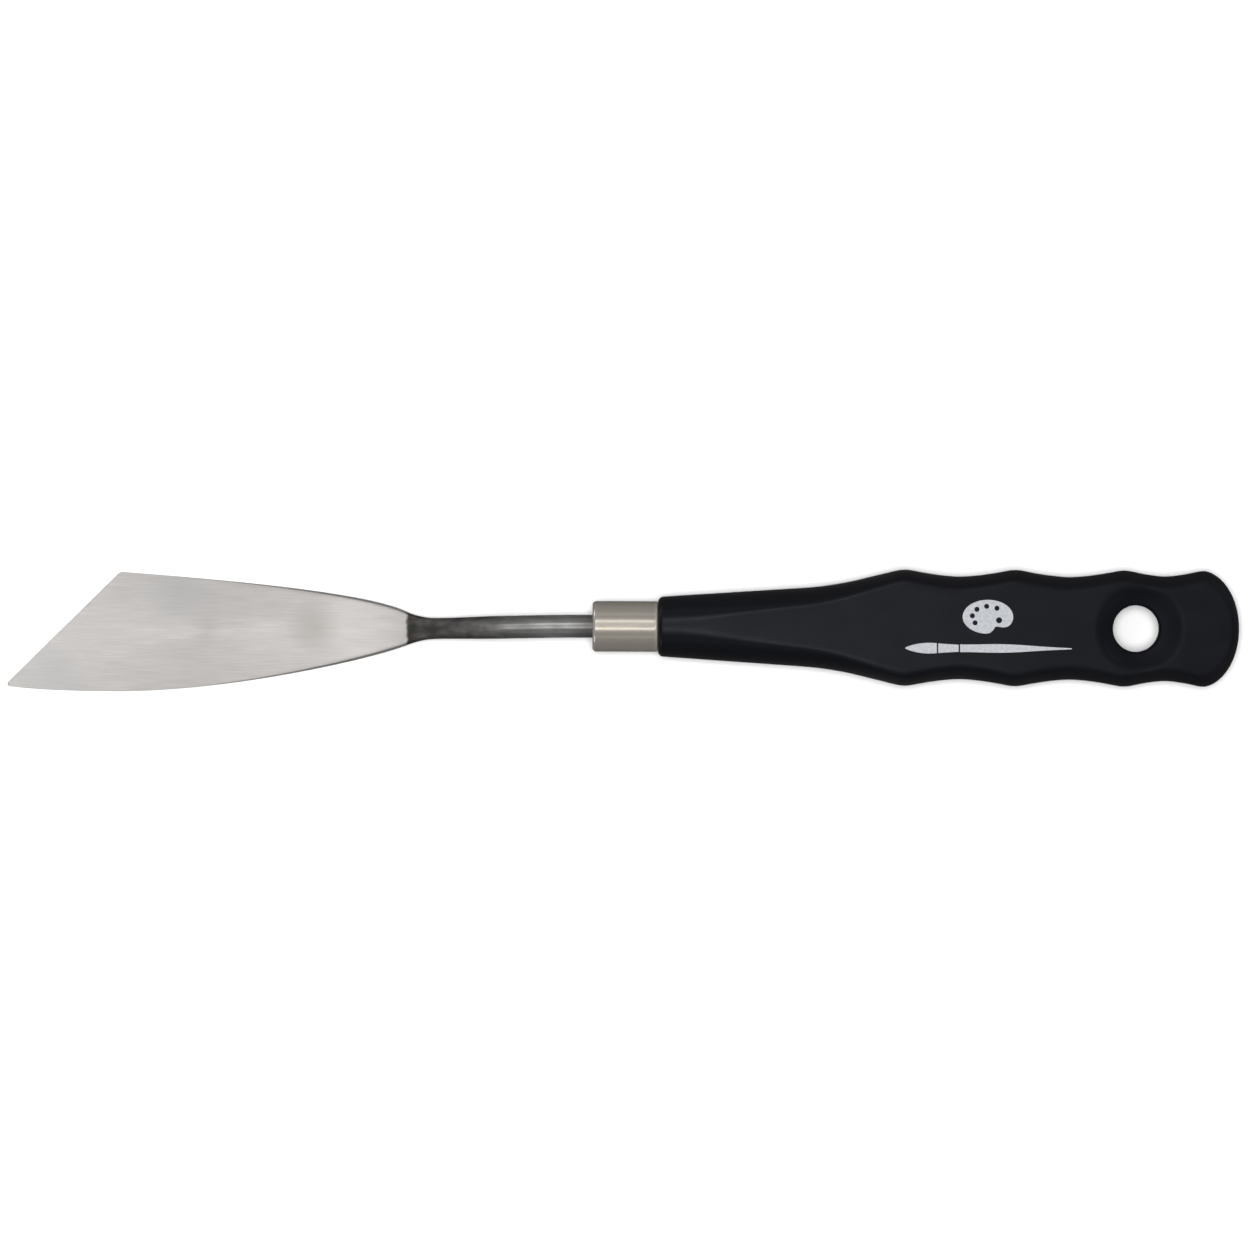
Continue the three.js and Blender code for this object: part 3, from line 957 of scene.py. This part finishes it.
def satin_nickel():
    """Warm nickel plate with faint drawing lines, and a painted highlight on its two rounded rims."""
    material, tree, shader, place = start_material("satin_nickel")
    lines = noise(tree, place, (18, 3000, 3000), 3)
    drawn = tint(tree, lines, 0.3, 0.7, (0.57, 0.52, 0.455), (0.65, 0.60, 0.53))
    middle = (FERRULE_FRONT_X + FERRULE_REAR_X) / 2
    half_length = (FERRULE_REAR_X - FERRULE_FRONT_X) / 2
    from_middle = calculate(tree, "SUBTRACT", along_knife(tree, place), middle * MM)
    away = calculate(tree, "ABSOLUTE", from_middle)
    # Painted highlight: the rounded rims at both ends are lighter, as if they catch the light.
    rim = change(tree, away, (half_length - FERRULE_CORNER, half_length - HIGHLIGHT_RIM), 0, 0.85)
    base = mix_colour(tree, rim, drawn, (0.80, 0.76, 0.70))
    shader.inputs["Metallic"].default_value = 0.8
    tree.links.new(base, shader.inputs["Base Color"])
    tree.links.new(remap(tree, lines, 0.3, 0.7, 0.24, 0.265), shader.inputs["Roughness"])
    tree.links.new(bump(tree, lines, 0.06, 0.00002), shader.inputs["Normal"])
    return material


def soft_rubber():
    """Black soft-touch rubber with a fine moulded grain, which is more matt towards the
    butt, where fingers rub it less."""
    material, tree, shader, place = start_material("soft_rubber")
    grain = noise(tree, place, (5200, 5200, 5200), 2)
    handling = noise(tree, place, (110, 160, 160), 3)
    base = tint(tree, handling, 0.35, 0.65, (0.0017, 0.0018, 0.0030), (0.0025, 0.0027, 0.0043))
    held = remap(tree, handling, 0.3, 0.7, 0.35, 0.29)
    matt = change(tree, along_knife(tree, place), MATT, 0, 0.26)
    shader.inputs["Specular IOR Level"].default_value = 0.37
    shader.inputs["Specular Tint"].default_value = (0.90, 0.925, 1.0, 1)
    tree.links.new(base, shader.inputs["Base Color"])
    tree.links.new(calculate(tree, "ADD", held, matt), shader.inputs["Roughness"])
    tree.links.new(bump(tree, grain, 0.2, 0.00003), shader.inputs["Normal"])
    return material


def moulded_plastic():
    """Hard black plastic of the handle's core, with faint flow marks."""
    material, tree, shader, place = start_material("moulded_plastic")
    flow = noise(tree, place, (60, 220, 220), 3)
    base = tint(tree, flow, 0.35, 0.65, (0.020, 0.020, 0.022), (0.032, 0.032, 0.035))
    tree.links.new(base, shader.inputs["Base Color"])
    tree.links.new(remap(tree, flow, 0.3, 0.7, 0.45, 0.38), shader.inputs["Roughness"])
    return material


def print_ink():
    """Pale grey pad-print ink, slightly uneven."""
    material, tree, shader, place = start_material("print_ink")
    speckle = noise(tree, place, (1800, 1800, 1800), 3)
    base = tint(tree, speckle, 0.3, 0.7, (0.37, 0.38, 0.405), (0.47, 0.485, 0.51))
    shader.inputs["Roughness"].default_value = 0.5
    tree.links.new(base, shader.inputs["Base Color"])
    return material


def floor_paint():
    material, _, shader, _ = start_material("floor_paint")
    shader.inputs["Base Color"].default_value = (0.9, 0.9, 0.9, 1)
    shader.inputs["Roughness"].default_value = 0.9
    shader.inputs["Specular IOR Level"].default_value = 0.1
    return material


# ---- Pieces --------------------------------------------------------------------------------


def build_blade():
    piece = make_piece("steel_blade", *blade_mesh(BLADE_ROOT_X), blade_steel())
    sharpen(piece, degrees=50)
    mark_edge_shade(piece)
    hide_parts("blade")
    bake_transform(piece)


def build_shank():
    end_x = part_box("shank")[1].x / MM
    piece = make_piece("forged_shank", *shank_mesh(BLADE_ROOT_X, end_x), forged_steel())
    sharpen(piece, degrees=50)
    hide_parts("shank")
    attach(piece, "handle")


def build_ferrule():
    piece = make_piece("nickel_ferrule", *ferrule_mesh(), satin_nickel())
    sharpen(piece, degrees=40)
    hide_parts("ferrule")
    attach(piece, "handle")


def build_grip():
    piece = make_piece("soft_grip", *grip_mesh(), soft_rubber())
    sharpen(piece, degrees=60)
    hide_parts("handle_grip")
    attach(piece, "handle")


def build_core():
    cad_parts["handle_core"].material_slots[0].material = moulded_plastic()


def build_print():
    ink = print_ink()
    shapes = {"printed_palette": palette_outlines(), "printed_brush": brush_outlines()}
    for name, outlines in shapes.items():
        piece = make_piece(name, *printed_mesh(outlines), ink)
        sharpen(piece, degrees=40)
        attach(piece, "handle")


# ---- Studio --------------------------------------------------------------------------------

# Camera: the width it sees and the middle of that, its turn in degrees, and its clipping in
# metres.
VIEW_WIDTH = 257.7
VIEW_CENTRE = (-66.7, 0.29)
VIEW_TURN = 0.25
LENS = 600
SENSOR = 36
CLIP_START = 0.01
CLIP_END = 20

# Strip lights that run along the knife, 1 m from it: tilt from overhead towards +Y in
# degrees, width in metres, and radiance.
STRIPS = {
    "strip_far": (24, 0.13, 2.8),
    "strip_near": (-10.5, 0.11, 3.7),
    "strip_between": (7, 0.45, 0.50),
    "edge_far": (59, 0.18, 0.25),
    "edge_near": (-50, 0.18, 0.2),
}
STRIP_START = -0.6
STRIP_END = -0.01

# Low boxes round the knife, and the soft overhead light. Angles are in degrees.
RIM_AZIMUTHS = [40, 140, 220, 320]
RIM_HEIGHT = 6
RIM_DISTANCE = 1.2
RIM_SIZE = (0.5, 0.16)
RIM_RADIANCE = 2.5
OVERHEAD_STRENGTH = 3.1
OVERHEAD_ANGLE = 20

# Grey surround: its brightest and darkest levels, how far its pole leans in degrees, and the
# height at which it is brightest, as a cosine from that pole.
SKY_HIGH = 0.21
SKY_LOW = 0.09
SKY_LEAN = 20
SKY_TOP = 0.9

FLOOR_REACH = 3.0
FLOOR_GAP = 0.0002


def build_camera():
    data = bpy.data.cameras.new("camera")
    data.lens = LENS
    data.sensor_width = SENSOR
    camera = bpy.data.objects.new("camera", data)
    height = VIEW_WIDTH * LENS / SENSOR + AXIS_Z
    camera.location = Vector((*VIEW_CENTRE, height)) * MM
    camera.rotation_euler = (0, 0, math.radians(VIEW_TURN))
    data.clip_start = CLIP_START
    data.clip_end = CLIP_END
    bpy.context.scene.collection.objects.link(camera)
    bpy.context.scene.camera = camera


def add_light(name, kind, location, rotation, **settings):
    data = bpy.data.lights.new(name, kind)
    for setting, value in settings.items():
        setattr(data, setting, value)
    light = bpy.data.objects.new(name, data)
    light.location = location
    light.rotation_euler = rotation
    light.visible_camera = False
    bpy.context.scene.collection.objects.link(light)
    return light


def rectangle(length, width, radiance):
    """Settings of an area light of this size and radiance."""
    power = radiance * math.pi * length * width
    return {"shape": "RECTANGLE", "size": length, "size_y": width, "energy": power}


def build_strips():
    length = STRIP_END - STRIP_START
    middle = (STRIP_START + STRIP_END) / 2
    for name, (angle, width, radiance) in STRIPS.items():
        tilt = math.radians(angle)
        place = (middle, math.sin(tilt), math.cos(tilt))
        add_light(name, "AREA", place, (-tilt, 0, 0), **rectangle(length, width, radiance))


def build_rims():
    rise = math.radians(RIM_HEIGHT)
    for azimuth in RIM_AZIMUTHS:
        turn = math.radians(azimuth)
        aim = Vector((math.cos(turn), math.sin(turn), math.tan(rise))).normalized()
        facing = aim.to_track_quat("Z", "Y").to_euler()
        box = rectangle(*RIM_SIZE, RIM_RADIANCE)
        add_light(f"rim_{azimuth}", "AREA", aim * RIM_DISTANCE, facing, **box)


def build_overhead():
    """A wide sun straight above, which lights surfaces but doesn't show in reflections."""
    settings = {"energy": OVERHEAD_STRENGTH, "angle": math.radians(OVERHEAD_ANGLE)}
    overhead = add_light("overhead_fill", "SUN", (0, 0, 1), (0, 0, 0), **settings)
    overhead.visible_glossy = False


def build_sky():
    """A soft grey surround, brightest overhead and a little to the +Y side."""
    world = bpy.data.worlds.new("studio")
    world.use_nodes = True
    tree = world.node_tree
    direction = add_node(tree, "ShaderNodeTexCoord").outputs["Generated"]
    lean = math.radians(SKY_LEAN)
    pole = (0, math.sin(lean), math.cos(lean))
    inputs = {0: direction, 1: pole}
    height = add_node(tree, "ShaderNodeVectorMath", inputs, operation="DOT_PRODUCT").outputs["Value"]
    level = remap(tree, height, -math.sin(lean), SKY_TOP, SKY_LOW, SKY_HIGH)
    background = tree.nodes["Background"]
    background.inputs["Color"].default_value = (1, 1, 1, 1)
    tree.links.new(level, background.inputs["Strength"])
    bpy.context.scene.world = world


def build_floor():
    corners = [(x * FLOOR_REACH, y * FLOOR_REACH, 0) for x, y in ((-1, -1), (1, -1), (1, 1), (-1, 1))]
    mesh = bpy.data.meshes.new("floor")
    mesh.from_pydata(corners, [], [(0, 1, 2, 3)])
    mesh.materials.append(floor_paint())
    floor = bpy.data.objects.new("floor", mesh)
    floor.location.z = -FLOOR_GAP
    floor.visible_glossy = False
    bpy.context.scene.collection.objects.link(floor)


build_camera()
build_strips()
build_rims()
build_overhead()
build_sky()
build_floor()
bpy.context.scene.view_settings.view_transform = "Standard"
build_blade()
build_shank()
build_ferrule()
build_core()
build_grip()
build_print()
